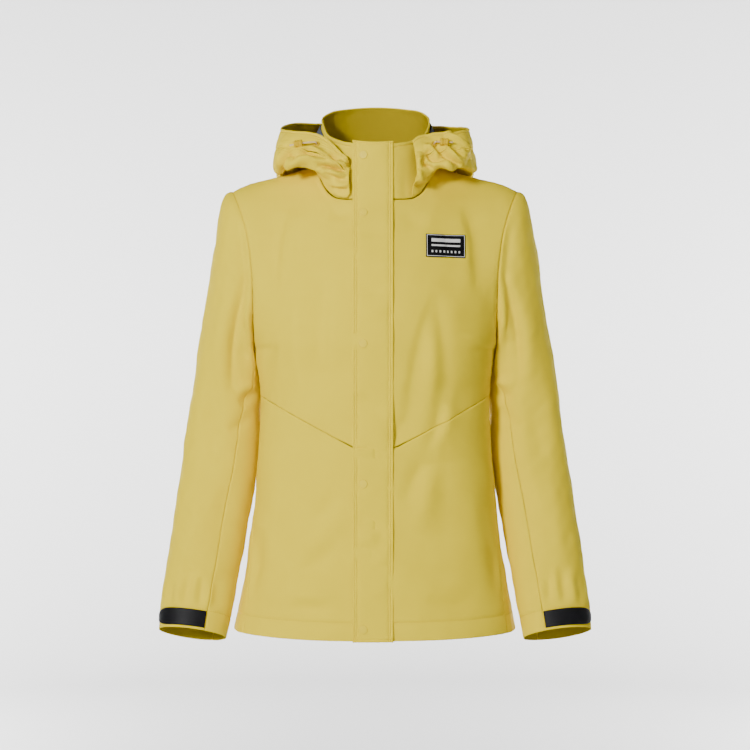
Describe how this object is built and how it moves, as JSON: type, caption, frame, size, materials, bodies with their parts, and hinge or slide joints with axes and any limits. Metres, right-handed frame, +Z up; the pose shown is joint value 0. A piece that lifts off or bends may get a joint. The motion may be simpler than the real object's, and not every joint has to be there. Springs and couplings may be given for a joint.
{
  "type": "hooded shell jacket",
  "caption": "Hip-length hooded waterproof shell jacket, closed, with a snapped storm flap, stand collar, folded-down hood with cord locks, cuff tabs and a chest patch, in its worn shape.",
  "frame": {"origin": "midway between the two side-neck points, where the wearer's shoulders carry the jacket", "axes": "+Z up towards the collar, +Y towards the wearer's back, +X towards the wearer's left"},
  "size_m": [0.6006, 0.3105, 0.7568],
  "materials": {
    "shell_cloth": "smooth coated weave, soft sheen",
    "neck_tape": "matt knitted tape",
    "moulded_tab": "satin",
    "woven_patch": "matt woven",
    "cord_and_lock": "matt"
  },
  "bodies": {
    "root": {"back": "shell_cloth", "front_right_upper": "shell_cloth", "front_left_upper": "shell_cloth", "front_right_lower": "shell_cloth", "front_left_lower": "shell_cloth", "storm_flap": "shell_cloth", "snap_1": "shell_cloth", "snap_2": "shell_cloth", "snap_3": "shell_cloth", "snap_4": "shell_cloth", "snap_5": "shell_cloth", "collar": "shell_cloth", "neck_tape": "neck_tape", "hood_side_right": "shell_cloth", "hood_side_left": "shell_cloth", "hood_centre": "shell_cloth", "hood_brim": "shell_cloth", "eyelet_right": "cord_and_lock", "eyelet_left": "cord_and_lock", "drawcord_right": "cord_and_lock", "drawcord_left": "cord_and_lock", "cord_lock_right": "cord_and_lock", "cord_lock_left": "cord_and_lock", "sleeve_right_upper": "shell_cloth", "sleeve_right_under": "shell_cloth", "sleeve_left_upper": "shell_cloth", "sleeve_left_under": "shell_cloth", "cuff_tab_right": "moulded_tab", "cuff_tab_left": "moulded_tab", "chest_patch": "woven_patch"}
  },
  "joints": []
}
